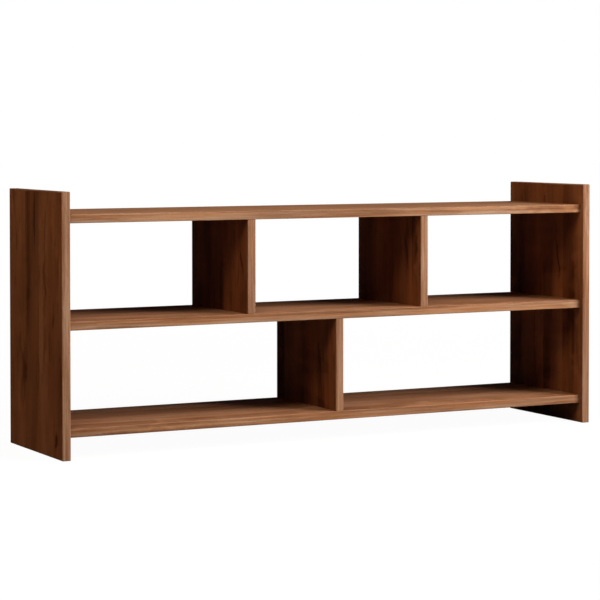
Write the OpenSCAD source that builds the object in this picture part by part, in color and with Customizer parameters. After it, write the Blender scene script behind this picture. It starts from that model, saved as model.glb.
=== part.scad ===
// Open two-tier desk hutch of veneered board, knocked down with dowels and cam fittings.
// The origin is on the desk top, under the middle of the hutch. X runs to the right,
// Y from the front to the back and Z up.

/* [Overall size] */
// Width over both side panels
total_w = 1200; // [1000:10:1400]
// Height of the side panels
total_h = 508; // [440:1:600]
// Depth of the side panels, front to back
side_d = 283; // [260:1:340]

/* [Boards] */
// Thickness of every board
board_t = 17; // [16:1:19]
// Set-back of shelves and dividers from the front and back edges of the side panels
inset = 10; // [2:1:20]
// Clear gap between the desk and the bottom shelf
foot_gap = 42; // [30:1:60]
// Rise of the side panels above the top shelf
upstand = 43; // [20:1:60]

/* [Edge bands] */
// Thickness of the edge bands
band_t = 2; // [0.8:0.1:3]
// Radius of the eased edges, kept below the band's thickness
arris_r = 1.5; // [0.4:0.1:2]

/* [Dowels] */
// Diameter of a dowel
dowel_d = 8; // [6:1:8]
// Length of a dowel
dowel_l = 30; // [25:1:35]
// Depth of a dowel in the face that it is glued into
dowel_in_face = 10; // [8:1:10]
// Distance from a shelf's front or back edge to the nearer dowel
dowel_edge = 19.5; // [15:0.5:30]

/* [Cam fittings] */
// Diameter of the cam's hole
cam_d = 15; // [12:1:15]
// Distance from a board's end to the middle of the cam
cam_reach = 34; // [24:1:34]
// Distance between a dowel and the cam beside it
cam_pitch = 32; // [24:1:40]
// Diameter of the bolt's pilot hole
bolt_d = 5; // [4:1:5]
// Length of the bolt's thread
thread_l = 10.5; // [9:0.5:11]
// Diameter of the cover cap
cap_d = 17; // [16:1:20]

/* [Hidden] */
$fn = 48;

WALNUT = [0.40, 0.23, 0.14];
WALNUT_EDGE = [0.62, 0.42, 0.29];
BEECH = [0.85, 0.70, 0.50];
STEEL = [0.72, 0.73, 0.75];
ZINC = [0.60, 0.61, 0.62];
CAP_BROWN = [0.30, 0.18, 0.11];

// Places of the boards
inner_w = total_w - 2 * board_t;
shelf_d = side_d - 2 * inset;
side_x = (total_w - board_t) / 2;
clear_h = (total_h - foot_gap - upstand - 3 * board_t) / 2;
upper_bay_w = (inner_w - 2 * board_t) / 3;
divider_x = (upper_bay_w + board_t) / 2;
arris = min(arris_r, 0.9 * band_t);

// Shelves by level, and each divider as [its x, the level that it stands on]
BOTTOM = 0;
MIDDLE = 1;
TOP = 2;
UPPER_LEFT = [-divider_x, MIDDLE];
UPPER_RIGHT = [divider_x, MIDDLE];
LOWER = [0, BOTTOM];
function underside(level) = foot_gap + level * (board_t + clear_h);
function topside(level) = underside(level) + board_t;
function midplane(level) = underside(level) + board_t / 2;

// Joints, with the play that each fitting has in its hole
past = 1; // how far a cutter runs past the surface that it opens
end_play = 1; // empty depth at the bottom of a blind hole
radial_play = 0.05;
dowel_y = shelf_d / 2 - dowel_edge;
cam_y = dowel_y - cam_pitch;
dowel_chamfer = 1;

// Bolt: a thread, a collar on the board's face, a shank, a neck and a head in the cam
thread_pitch = 1.5;
tip_l = 1; // shortest unthreaded tip
thread_core_r = 0.8 * bolt_d / 2;
collar_r = 3.4;
collar_h = 1.2;
shank_r = 2.6;
neck_r = 1.6;
head_r = 3.2;
head_h = 5;
neck_l = 5.5;
bolt_hole_r = 4;

// Cam: a cup with its closed end at the board's surface, and a slot for the bolt's neck
cam_r = cam_d / 2 - radial_play;
cam_sunk = 0.3; // how far the cam lies below the board's surface
cam_h = board_t / 2 + 4;
cam_floor = board_t / 2 - head_r - 0.4;
chamber_r = head_r + 0.7;
neck_slot = 2 * neck_r + 1;
drive_r = 1.6;
drive_l = 7;
drive_w = 1.4;
drive_depth = 2.4;

// Cover cap: a thin disc and the peg that holds it in the cam
cap_h = 1.2;
cap_edge = 0.5;
peg_r = drive_r - 0.1;
peg_l = drive_depth - 0.2;

// ---- Joint frames: the face's plane is XY, the end board runs along +Z, its cams face +X ----

module left_end(level) {
  translate([-inner_w / 2, 0, midplane(level)]) rotate([0, 90, 0]) children();
}

module right_end(level) {
  mirror([1, 0, 0]) left_end(level) children();
}

module divider_foot(divider) {
  translate([divider.x, 0, topside(divider.y)]) children();
}

module divider_head(divider) {
  translate([divider.x, 0, underside(divider.y + 1)]) mirror([0, 0, 1]) children();
}

module both_shelf_ends(level) {
  left_end(level) children();
  right_end(level) children();
}

module both_divider_ends(divider) {
  divider_foot(divider) children();
  divider_head(divider) children();
}

module at_dowels() {
  for (y = [-dowel_y, dowel_y]) translate([0, y, 0]) children();
}

module at_bolts() {
  for (y = [-cam_y, cam_y]) translate([0, y, 0]) children();
}

// The cam's own frame: its surface in XY and its body along +Z, into the board
module at_cams() {
  at_bolts() translate([board_t / 2, 0, cam_reach]) rotate([0, -90, 0]) children();
}

// ---- Holes ----

// Blind holes in the face that another board's end meets
module face_holes() {
  at_dowels() translate([0, 0, -dowel_in_face - end_play])
    cylinder(d = dowel_d, h = dowel_in_face + end_play + past);
  at_bolts() translate([0, 0, -thread_l - end_play / 2])
    cylinder(d = bolt_d, h = thread_l + end_play / 2 + past);
}

// Holes in a board's end: dowels, bolts, and the cams that the bolts run into
module end_holes() {
  at_dowels() translate([0, 0, -past])
    cylinder(d = dowel_d, h = dowel_l - dowel_in_face + end_play + past);
  at_bolts() translate([0, 0, -past])
    cylinder(r = bolt_hole_r, h = cam_reach + past);
  at_cams() translate([0, 0, -past])
    cylinder(d = cam_d, h = past + cam_sunk + cam_h + 0.1);
}

// ---- Boards ----

// side is -1 for the left panel and 1 for the right one
module side_panel(side) {
  color(WALNUT) difference() {
    translate([side * side_x - board_t / 2, -side_d / 2 + band_t, band_t])
      cube([board_t, side_d - 2 * band_t, total_h - 2 * band_t]);
    for (level = [BOTTOM, MIDDLE, TOP])
      if (side < 0) left_end(level) face_holes();
      else right_end(level) face_holes();
  }
}

module shelf(level) {
  color(WALNUT) difference() {
    translate([-inner_w / 2, -shelf_d / 2 + band_t, underside(level)])
      cube([inner_w, shelf_d - 2 * band_t, board_t]);
    both_shelf_ends(level) end_holes();
    for (divider = [UPPER_LEFT, UPPER_RIGHT, LOWER]) {
      if (divider.y == level) divider_foot(divider) face_holes();
      if (divider.y + 1 == level) divider_head(divider) face_holes();
    }
  }
}

module divider_board(divider) {
  color(WALNUT) difference() {
    translate([divider.x - board_t / 2, -shelf_d / 2 + band_t, topside(divider.y)])
      cube([board_t, shelf_d - 2 * band_t, clear_h]);
    both_divider_ends(divider) end_holes();
  }
}

// ---- Edge bands ----

// Section of a band: flat where it is glued, with both outer edges eased
module band_section() {
  intersection() {
    translate([-board_t / 2, 0]) square([board_t, band_t]);
    union() {
      translate([-board_t / 2 + arris, 0]) square([board_t - 2 * arris, band_t]);
      translate([-board_t / 2, arris]) square([board_t, band_t]);
      for (side = [-1, 1]) translate([side * (board_t / 2 - arris), arris]) circle(arris);
    }
  }
}

module band(length) {
  color(WALNUT_EDGE) linear_extrude(length) band_section();
}

// The band on an upright board's front edge; the back one is its mirror image
module side_front_band(side) {
  translate([side * side_x, -side_d / 2, 0]) band(total_h);
}

module side_top_band(side) {
  translate([side * side_x, -side_d / 2 + band_t, total_h])
    rotate([-90, 0, 0]) band(side_d - 2 * band_t);
}

module side_bottom_band(side) {
  translate([0, 0, total_h]) mirror([0, 0, 1]) side_top_band(side);
}

module shelf_front_band(level) {
  translate([-inner_w / 2, -shelf_d / 2, midplane(level)]) rotate([0, 90, 0]) band(inner_w);
}

module divider_front_band(divider) {
  translate([divider.x, -shelf_d / 2, topside(divider.y)]) band(clear_h);
}

module at_back() {
  mirror([0, 1, 0]) children();
}

// ---- Fittings, each set in the frame of its joint ----

module dowel() {
  radius = dowel_d / 2 - radial_play;
  color(BEECH) translate([0, 0, -dowel_in_face]) rotate_extrude() polygon([
    [0, 0], [radius - dowel_chamfer, 0], [radius, dowel_chamfer],
    [radius, dowel_l - dowel_chamfer], [radius - dowel_chamfer, dowel_l], [0, dowel_l]
  ]);
}

module bolt() {
  turns = floor((thread_l - tip_l) / thread_pitch);
  crest_r = bolt_d / 2 - radial_play;
  neck_end = cam_reach - head_h / 2;
  thread = [for (turn = [turns:-1:1]) for (half = [0, 0.5])
    [half == 0 ? thread_core_r : crest_r, (half - turn) * thread_pitch]];
  color(STEEL) rotate_extrude() polygon(concat(
    [[0, -thread_l], [thread_core_r / 2, -thread_l]], thread,
    [
      [thread_core_r, 0], [collar_r, 0], [collar_r, collar_h], [shank_r, collar_h],
      [shank_r, neck_end - neck_l], [neck_r, neck_end - neck_l + 1], [neck_r, neck_end],
      [head_r, neck_end + 1], [head_r, neck_end + head_h - 1],
      [head_r - 1, neck_end + head_h], [0, neck_end + head_h]
    ]));
}

module cam() {
  color(ZINC) difference() {
    translate([0, 0, cam_sunk]) cylinder(r = cam_r, h = cam_h);
    translate([0, 0, cam_floor]) cylinder(r = chamber_r, h = cam_h);
    translate([-cam_d, -neck_slot / 2, board_t / 2 - neck_slot / 2])
      cube([cam_d, neck_slot, cam_h]);
    translate([0, 0, -past]) cylinder(r = drive_r, h = past + drive_depth);
    for (turn = [0, 90]) rotate(turn) translate([-drive_l / 2, -drive_w / 2, -past])
      cube([drive_l, drive_w, past + drive_depth]);
  }
}

module cap() {
  color(CAP_BROWN) rotate_extrude() polygon([
    [0, -cap_h], [cap_d / 2 - cap_edge, -cap_h], [cap_d / 2, -cap_h + cap_edge],
    [cap_d / 2, 0], [peg_r, 0], [peg_r, peg_l], [0, peg_l]
  ]);
}

module dowels() at_dowels() dowel();
module bolts() at_bolts() bolt();
module cams() at_cams() cam();
module caps() at_cams() cap();

// ---- Named parts ----

module left_side_panel() side_panel(-1);
module right_side_panel() side_panel(1);
module top_shelf() shelf(TOP);
module middle_shelf() shelf(MIDDLE);
module bottom_shelf() shelf(BOTTOM);
module upper_left_divider() divider_board(UPPER_LEFT);
module upper_right_divider() divider_board(UPPER_RIGHT);
module lower_divider() divider_board(LOWER);

module left_side_front_band() side_front_band(-1);
module left_side_back_band() at_back() side_front_band(-1);
module left_side_top_band() side_top_band(-1);
module left_side_bottom_band() side_bottom_band(-1);
module right_side_front_band() side_front_band(1);
module right_side_back_band() at_back() side_front_band(1);
module right_side_top_band() side_top_band(1);
module right_side_bottom_band() side_bottom_band(1);
module top_shelf_front_band() shelf_front_band(TOP);
module top_shelf_back_band() at_back() shelf_front_band(TOP);
module middle_shelf_front_band() shelf_front_band(MIDDLE);
module middle_shelf_back_band() at_back() shelf_front_band(MIDDLE);
module bottom_shelf_front_band() shelf_front_band(BOTTOM);
module bottom_shelf_back_band() at_back() shelf_front_band(BOTTOM);
module upper_left_divider_front_band() divider_front_band(UPPER_LEFT);
module upper_left_divider_back_band() at_back() divider_front_band(UPPER_LEFT);
module upper_right_divider_front_band() divider_front_band(UPPER_RIGHT);
module upper_right_divider_back_band() at_back() divider_front_band(UPPER_RIGHT);
module lower_divider_front_band() divider_front_band(LOWER);
module lower_divider_back_band() at_back() divider_front_band(LOWER);

module top_shelf_dowels() both_shelf_ends(TOP) dowels();
module top_shelf_bolts() both_shelf_ends(TOP) bolts();
module top_shelf_cams() both_shelf_ends(TOP) cams();
module top_shelf_caps() both_shelf_ends(TOP) caps();
module middle_shelf_dowels() both_shelf_ends(MIDDLE) dowels();
module middle_shelf_bolts() both_shelf_ends(MIDDLE) bolts();
module middle_shelf_cams() both_shelf_ends(MIDDLE) cams();
module middle_shelf_caps() both_shelf_ends(MIDDLE) caps();
module bottom_shelf_dowels() both_shelf_ends(BOTTOM) dowels();
module bottom_shelf_bolts() both_shelf_ends(BOTTOM) bolts();
module bottom_shelf_cams() both_shelf_ends(BOTTOM) cams();
module bottom_shelf_caps() both_shelf_ends(BOTTOM) caps();
module upper_left_divider_dowels() both_divider_ends(UPPER_LEFT) dowels();
module upper_left_divider_bolts() both_divider_ends(UPPER_LEFT) bolts();
module upper_left_divider_cams() both_divider_ends(UPPER_LEFT) cams();
module upper_left_divider_caps() both_divider_ends(UPPER_LEFT) caps();
module upper_right_divider_dowels() both_divider_ends(UPPER_RIGHT) dowels();
module upper_right_divider_bolts() both_divider_ends(UPPER_RIGHT) bolts();
module upper_right_divider_cams() both_divider_ends(UPPER_RIGHT) cams();
module upper_right_divider_caps() both_divider_ends(UPPER_RIGHT) caps();
module lower_divider_dowels() both_divider_ends(LOWER) dowels();
module lower_divider_bolts() both_divider_ends(LOWER) bolts();
module lower_divider_cams() both_divider_ends(LOWER) cams();
module lower_divider_caps() both_divider_ends(LOWER) caps();

left_side_panel();
right_side_panel();
top_shelf();
middle_shelf();
bottom_shelf();
upper_left_divider();
upper_right_divider();
lower_divider();
left_side_front_band();
left_side_back_band();
left_side_top_band();
left_side_bottom_band();
right_side_front_band();
right_side_back_band();
right_side_top_band();
right_side_bottom_band();
top_shelf_front_band();
top_shelf_back_band();
middle_shelf_front_band();
middle_shelf_back_band();
bottom_shelf_front_band();
bottom_shelf_back_band();
upper_left_divider_front_band();
upper_left_divider_back_band();
upper_right_divider_front_band();
upper_right_divider_back_band();
lower_divider_front_band();
lower_divider_back_band();
top_shelf_dowels();
top_shelf_bolts();
top_shelf_cams();
top_shelf_caps();
middle_shelf_dowels();
middle_shelf_bolts();
middle_shelf_cams();
middle_shelf_caps();
bottom_shelf_dowels();
bottom_shelf_bolts();
bottom_shelf_cams();
bottom_shelf_caps();
upper_left_divider_dowels();
upper_left_divider_bolts();
upper_left_divider_cams();
upper_left_divider_caps();
upper_right_divider_dowels();
upper_right_divider_bolts();
upper_right_divider_cams();
upper_right_divider_caps();
lower_divider_dowels();
lower_divider_bolts();
lower_divider_cams();
lower_divider_caps();
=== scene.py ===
"""Open two-tier desk hutch in walnut veneer: finishes, edge bands, fittings, stage, light and camera.

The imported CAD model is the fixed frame. Its boards and cams stay and get their finishes here, and
edge bands, cover caps, dowels and bolts are made again with their real surface shapes. Everything is
in metres, with X to the right, Y from the front to the back and Z up.
"""

import logging
import math
from dataclasses import dataclass
from enum import Enum
from typing import Callable, ClassVar, Optional, Sequence, Union

import bpy
import numpy as np
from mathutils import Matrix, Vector


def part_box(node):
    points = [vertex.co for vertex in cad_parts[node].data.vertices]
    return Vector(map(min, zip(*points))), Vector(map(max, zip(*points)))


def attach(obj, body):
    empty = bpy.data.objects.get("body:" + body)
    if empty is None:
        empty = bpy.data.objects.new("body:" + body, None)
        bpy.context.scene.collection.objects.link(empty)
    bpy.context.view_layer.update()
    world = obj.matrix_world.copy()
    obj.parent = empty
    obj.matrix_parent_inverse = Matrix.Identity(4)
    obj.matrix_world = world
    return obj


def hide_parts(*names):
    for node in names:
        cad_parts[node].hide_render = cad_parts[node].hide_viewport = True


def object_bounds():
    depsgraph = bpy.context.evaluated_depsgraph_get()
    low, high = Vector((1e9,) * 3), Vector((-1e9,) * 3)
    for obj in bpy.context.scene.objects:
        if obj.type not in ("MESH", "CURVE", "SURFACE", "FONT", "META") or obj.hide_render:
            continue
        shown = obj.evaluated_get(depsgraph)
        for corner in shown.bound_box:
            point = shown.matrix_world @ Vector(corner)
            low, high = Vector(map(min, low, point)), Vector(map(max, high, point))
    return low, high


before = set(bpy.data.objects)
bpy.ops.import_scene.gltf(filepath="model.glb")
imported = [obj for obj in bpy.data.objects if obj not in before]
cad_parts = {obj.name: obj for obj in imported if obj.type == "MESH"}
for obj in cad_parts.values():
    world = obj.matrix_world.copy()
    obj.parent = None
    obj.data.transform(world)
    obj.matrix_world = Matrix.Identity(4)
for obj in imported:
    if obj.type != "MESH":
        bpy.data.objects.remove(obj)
CAD_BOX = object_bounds()

LOG = logging.getLogger("desk_hutch")
MM = 0.001
BODY = "root"

Socket = bpy.types.NodeSocket
Value = Union[float, Sequence[float], Socket]
Colour = tuple[float, float, float]


class Axis(Enum):
    """A direction of the row frame, by its place in a coordinate."""

    X = 0
    Y = 1
    Z = 2


# ---------------------------------------------------------------------------------------------
# Shader graphs
# ---------------------------------------------------------------------------------------------


class Graph:
    """Short calls that add nodes to one shader tree and join them."""

    def __init__(self, tree: bpy.types.NodeTree) -> None:
        """Starts an empty graph.

        Args:
            tree: the material's or group's node tree, whose nodes are cleared.
        """
        self.tree = tree
        tree.nodes.clear()

    def node(self, kind: str, **settings: object) -> bpy.types.Node:
        """Adds a node.

        Args:
            kind: the node's type name without its ShaderNode prefix.
            settings: the node's own properties.

        Returns:
            The new node.
        """
        made = self.tree.nodes.new("ShaderNode" + kind)
        for name, value in settings.items():
            setattr(made, name, value)
        return made

    def feed(self, socket: Socket, value: Value) -> None:
        """Links a socket, or sets its value where value is a number or a list of numbers."""
        if isinstance(value, bpy.types.NodeSocket):
            self.tree.links.new(value, socket)
        elif socket.type == "RGBA" and len(value) == 3:
            socket.default_value = (*value, 1.0)
        else:
            socket.default_value = value

    def result(self, made: bpy.types.Node, *values: Value) -> Socket:
        """Feeds a node's first inputs in order and returns its first output."""
        for socket, value in zip(made.inputs, values):
            self.feed(socket, value)
        return made.outputs[0]

    def math(self, operation: str, *values: Value, clamp: bool = False) -> Socket:
        """Adds a Math node and returns its result."""
        return self.result(self.node("Math", operation=operation, use_clamp=clamp), *values)

    def vector_math(self, operation: str, *values: Value) -> Socket:
        """Adds a Vector Math node and returns its vector."""
        return self.result(self.node("VectorMath", operation=operation), *values)

    def millimetres(self, point: Socket) -> Socket:
        """Turns a point in metres into millimetres."""
        return self.vector_math("MULTIPLY", point, (1.0 / MM,) * 3)

    def vector(self, x: Value, y: Value, z: Value) -> Socket:
        """Joins three numbers into a vector."""
        return self.result(self.node("CombineXYZ"), x, y, z)

    def split(self, vector: Socket) -> tuple[Socket, Socket, Socket]:
        """Returns a vector's three numbers."""
        made = self.node("SeparateXYZ")
        self.feed(made.inputs[0], vector)
        return made.outputs[0], made.outputs[1], made.outputs[2]

    def remap(self, value: Socket, low: float, high: float, to_low: float = 0.0,
              to_high: float = 1.0, smooth: bool = False) -> Socket:
        """Carries a value from one range to another, held at both ends.

        Args:
            value: the number to carry over.
            low: the value that becomes to_low.
            high: the value that becomes to_high.
            to_low: the result at low.
            to_high: the result at high.
            smooth: whether the change eases in and out.

        Returns:
            The new number.
        """
        made = self.node("MapRange", interpolation_type="SMOOTHSTEP" if smooth else "LINEAR")
        for name, number in zip(("Value", "From Min", "From Max", "To Min", "To Max"),
                                (value, low, high, to_low, to_high)):
            self.feed(made.inputs[name], number)
        return made.outputs["Result"]

    def noise(self, vector: Socket, stretch: Sequence[float], detail: float = 2.0,
              roughness: float = 0.5) -> Socket:
        """Noise from 0 to 1 whose features are one unit across after the stretch.

        Args:
            vector: the point.
            stretch: features per unit of the point's own measure, along each axis.
            detail: how many finer layers are added.
            roughness: how strong the finer layers are.

        Returns:
            The noise value.
        """
        made = self.node("TexNoise", noise_dimensions="3D")
        self.feed(made.inputs["Vector"], self.vector_math("MULTIPLY", vector, stretch))
        for name, number in (("Scale", 1.0), ("Detail", detail), ("Roughness", roughness)):
            made.inputs[name].default_value = number
        return made.outputs["Fac"]

    def ramp(self, factor: Socket, stops: Sequence[tuple[float, Colour]]) -> Socket:
        """Colours along a ramp.

        Args:
            factor: the place on the ramp, from 0 to 1.
            stops: pairs of place and colour, lowest first.

        Returns:
            The colour.
        """
        made = self.node("ValToRGB")
        band = made.color_ramp
        while len(band.elements) < len(stops):
            band.elements.new(1.0)
        for element, (place, colour) in zip(band.elements, stops):
            element.position = place
            element.color = (*colour, 1.0)
        self.feed(made.inputs[0], factor)
        return made.outputs[0]

    def mix(self, factor: Value, first: Value, second: Value, blend: str = "MIX") -> Socket:
        """Mixes two colours."""
        made = self.node("Mix", data_type="RGBA", blend_type=blend)
        for index, value in ((0, factor), (6, first), (7, second)):
            self.feed(made.inputs[index], value)
        return made.outputs[2]

    def bump(self, height: Socket, depth: float) -> Socket:
        """Turns a height into a normal.

        Args:
            height: the surface height, from 0 to 1.
            depth: the real depth between 0 and 1, in metres.

        Returns:
            The normal.
        """
        made = self.node("Bump")
        made.inputs["Strength"].default_value = 1.0
        made.inputs["Distance"].default_value = depth
        self.feed(made.inputs["Height"], height)
        return made.outputs["Normal"]

    def group(self, tree: bpy.types.NodeTree, **values: Value) -> bpy.types.Node:
        """Places a node group and feeds its inputs by name, with underscores for spaces."""
        made = self.node("Group", node_tree=tree)
        for name, value in values.items():
            self.feed(made.inputs[name.replace("_", " ")], value)
        return made


class EffectGroup:
    """A shader effect that several finishes use, built once as a node group."""

    name = ""
    inputs: Sequence[tuple[str, str, Value]] = ()
    outputs: Sequence[tuple[str, str]] = ()

    def __init__(self) -> None:
        """Builds the group's sockets and nodes."""
        self.tree = bpy.data.node_groups.new(self.name, "ShaderNodeTree")
        for label, kind, default in self.inputs:
            socket = self.tree.interface.new_socket(label, in_out="INPUT", socket_type=kind)
            if kind != "NodeSocketVector":
                socket.default_value = default
        for label, kind in self.outputs:
            self.tree.interface.new_socket(label, in_out="OUTPUT", socket_type=kind)
        graph = Graph(self.tree)
        entry = self.tree.nodes.new("NodeGroupInput")
        leave = self.tree.nodes.new("NodeGroupOutput")
        given = {label: entry.outputs[label] for label, _, _ in self.inputs}
        for label, socket in self.build(graph, given).items():
            self.tree.links.new(socket, leave.inputs[label])

    def build(self, graph: Graph, given: dict[str, Socket]) -> dict[str, Socket]:
        """Makes the nodes between the group's inputs and outputs.

        Args:
            graph: the group's own graph.
            given: the input sockets by name.

        Returns:
            The sockets to put out, by output name.
        """
        raise NotImplementedError


class WalnutFigure(EffectGroup):
    """The figure of crown-cut walnut, for a point with its grain along the first coordinate.

    Leaves lie side by side across the grain. In each, a ring's radius is the root of (offset across
    the grain, bent by noise) squared plus (a depth that grows slowly along the grain) squared, which
    draws arches some thirty times longer than wide. Tone is the leaf's own tone plus slow noise,
    long streaks and fibres. Pores are short dark dashes, denser in the pale early wood.
    """

    name = "walnut_figure"
    inputs = (
        ("Point", "NodeSocketVector", None),
        ("Seed", "NodeSocketFloat", 0.0),
        ("Leaf Width", "NodeSocketFloat", 75.0),
        ("Ring Gap", "NodeSocketFloat", 6.0),
        ("Wander", "NodeSocketFloat", 16.0),
        ("Clouds", "NodeSocketFloat", 1.0),
        ("Streaks", "NodeSocketFloat", 1.35),
        ("Fibres", "NodeSocketFloat", 0.4),
    )
    outputs = (
        ("Tone", "NodeSocketFloat"),
        ("Warmth", "NodeSocketFloat"),
        ("Rings", "NodeSocketFloat"),
        ("Pores", "NodeSocketFloat"),
        ("Stain", "NodeSocketFloat"),
        ("Height", "NodeSocketFloat"),
    )
    TAPER = 0.035
    APEX_SPREAD = 1300.0
    SEED_STEP = 7.13
    LEAF_DEPTH = 400.0
    LEAF_SHIFT = 0.7
    LEAF_TONES = 0.30
    RIPPLE_DEPTH = 4.0
    # Noise features for each millimetre along the grain, across it and into the board.
    BEND = (0.0045, 0.028, 0.05)
    RIPPLE = (0.022, 0.11, 0.08)
    FADE = (0.006, 0.05, 0.05)
    CLOUD = (0.0028, 0.016, 0.03)
    STREAK = (0.0045, 0.17, 0.2)
    FIBRE = (0.03, 1.5, 1.5)
    PORE = (0.11, 3.1, 3.1)
    STAIN = (0.0075, 0.045, 0.05)
    VEIN = (0.0035, 0.020, 0.03)
    CAST = (0.004, 0.13, 0.13)

    def build(self, graph: Graph, given: dict[str, Socket]) -> dict[str, Socket]:
        """Makes the figure's nodes. The class's docstring gives the formula."""
        g = graph
        along, across, deep = g.split(g.millimetres(given["Point"]))
        place = g.math("ADD", g.math("DIVIDE", across, given["Leaf Width"]),
                       g.math("MULTIPLY", given["Seed"], self.SEED_STEP))
        leaf = g.math("FLOOR", place)
        inside = g.math("MULTIPLY", g.math("SUBTRACT", g.math("SUBTRACT", place, leaf), 0.5),
                        given["Leaf Width"])
        dice = g.node("TexWhiteNoise", noise_dimensions="2D")
        g.feed(dice.inputs["Vector"], g.vector(leaf, given["Seed"], 0.0))
        first, second, third = g.split(dice.outputs["Color"])
        own = g.vector(along, across, g.math("MULTIPLY_ADD", first, self.LEAF_DEPTH, deep))

        bend = g.math("SUBTRACT", g.noise(own, self.BEND, 1.5), 0.5)
        ripple = g.math("SUBTRACT", g.noise(own, self.RIPPLE, 2.0), 0.5)
        shifted = g.math("MULTIPLY_ADD", g.math("SUBTRACT", first, 0.5),
                         g.math("MULTIPLY", given["Leaf Width"], self.LEAF_SHIFT), inside)
        shifted = g.math("MULTIPLY_ADD", bend, given["Wander"], shifted)
        shifted = g.math("MULTIPLY_ADD", ripple, self.RIPPLE_DEPTH, shifted)
        apex = g.math("MULTIPLY", g.math("SUBTRACT", second, 0.5), self.APEX_SPREAD)
        depth = g.math("MULTIPLY", g.math("SUBTRACT", along, apex), self.TAPER)
        radius = g.math("SQRT", g.math("ADD", g.math("MULTIPLY", shifted, shifted),
                                       g.math("MULTIPLY", depth, depth)))
        phase = g.math("FRACT", g.math("DIVIDE", radius, given["Ring Gap"]))
        late = g.math("POWER", phase, 3.0)
        early = g.remap(phase, 0.0, 0.07, 1.0, 0.0, smooth=True)
        fade = g.remap(g.noise(own, self.FADE, 2.0), 0.35, 0.65, 0.25, 1.0)
        rings = g.math("MULTIPLY", g.math("MAXIMUM", late, early), fade)

        slow = g.math("SUBTRACT", g.noise(own, self.CLOUD, 2.0), 0.5)
        streak = g.math("SUBTRACT", g.noise(own, self.STREAK, 2.0, 0.6), 0.5)
        fibre = g.math("SUBTRACT", g.noise(own, self.FIBRE, 2.0, 0.65), 0.5)
        tone = g.math("MULTIPLY_ADD", g.math("SUBTRACT", third, 0.5), self.LEAF_TONES, 0.5)
        for part, weight in ((slow, "Clouds"), (streak, "Streaks"), (fibre, "Fibres")):
            tone = g.math("MULTIPLY_ADD", part, given[weight], tone)

        dash = g.noise(own, self.PORE, 1.0, 0.4)
        crowd = g.math("MULTIPLY_ADD", rings, -0.03, 0.655)
        pores = g.math("MULTIPLY", g.math("SUBTRACT", dash, crowd), 14.0, clamp=True)
        stain = g.remap(g.noise(own, self.STAIN, 3.0, 0.62), 0.555, 0.68, smooth=True)
        vein = g.math("ABSOLUTE", g.math("SUBTRACT", g.noise(own, self.VEIN, 2.0), 0.5))
        vein = g.math("MULTIPLY", g.remap(vein, 0.0, 0.012, 1.0, 0.0, smooth=True), fade)
        stain = g.math("MAXIMUM", stain, g.math("MULTIPLY", vein, 0.7))
        height = g.math("MULTIPLY_ADD", fibre, 0.5, 0.5)
        height = g.math("MULTIPLY_ADD", pores, -0.8, height)
        warmth = g.noise(own, self.CAST, 2.0)
        return {"Tone": tone, "Warmth": warmth, "Rings": rings, "Pores": pores, "Stain": stain,
                "Height": height}


class GrainMark(EffectGroup):
    """The mask of a pin knot's streak or of a patch, which is wood or painted light and shade: an
    ellipse along the grain with a torn outline and a thread in it."""

    name = "grain_mark"
    inputs = (
        ("Point", "NodeSocketVector", None),
        ("Along", "NodeSocketFloat", 0.0),
        ("Across", "NodeSocketFloat", 0.0),
        ("Length", "NodeSocketFloat", 80.0),
        ("Width", "NodeSocketFloat", 12.0),
        ("Lean", "NodeSocketFloat", 0.0),
    )
    outputs = (("Mask", "NodeSocketFloat"),)
    # Noise features for each millimetre along the grain, across it and into the board.
    SWAY = (0.022, 0.004, 0.004)
    TEAR = (0.09, 0.5, 0.1)
    SWAY_SHARE = 2.2
    TEAR_SHARE = 0.6

    def build(self, graph: Graph, given: dict[str, Socket]) -> dict[str, Socket]:
        """With u and v as the offsets from the middle over half the length and half the width, the
        blot is 1 where u squared plus v squared is small, and the thread where v alone is small."""
        g = graph
        point = g.millimetres(given["Point"])
        along, across, _ = g.split(point)
        step = g.math("SUBTRACT", along, given["Along"])
        sway = g.math("SUBTRACT", g.noise(point, self.SWAY, 2.0), 0.5)
        tear = g.math("SUBTRACT", g.noise(point, self.TEAR, 3.0, 0.6), 0.5)
        aside = g.math("SUBTRACT", across, given["Across"])
        aside = g.math("SUBTRACT", aside, g.math("MULTIPLY", step, given["Lean"]))
        for part, share in ((sway, self.SWAY_SHARE), (tear, self.TEAR_SHARE)):
            aside = g.math("MULTIPLY_ADD", part, g.math("MULTIPLY", given["Width"], share), aside)
        u = g.math("DIVIDE", step, g.math("MULTIPLY", given["Length"], 0.5))
        v = g.math("DIVIDE", aside, g.math("MULTIPLY", given["Width"], 0.5))
        u_squared = g.math("MULTIPLY", u, u)
        spread = g.math("MULTIPLY_ADD", v, v, u_squared)
        blot = g.remap(spread, 0.1, 1.0, 0.75, 0.0, smooth=True)
        thread = g.math("MULTIPLY", g.remap(g.math("ABSOLUTE", v), 0.0, 0.3, 1.0, 0.0, smooth=True),
                        g.remap(u_squared, 0.4, 1.6, 1.0, 0.0, smooth=True))
        return {"Mask": g.math("MAXIMUM", blot, thread)}


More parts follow.
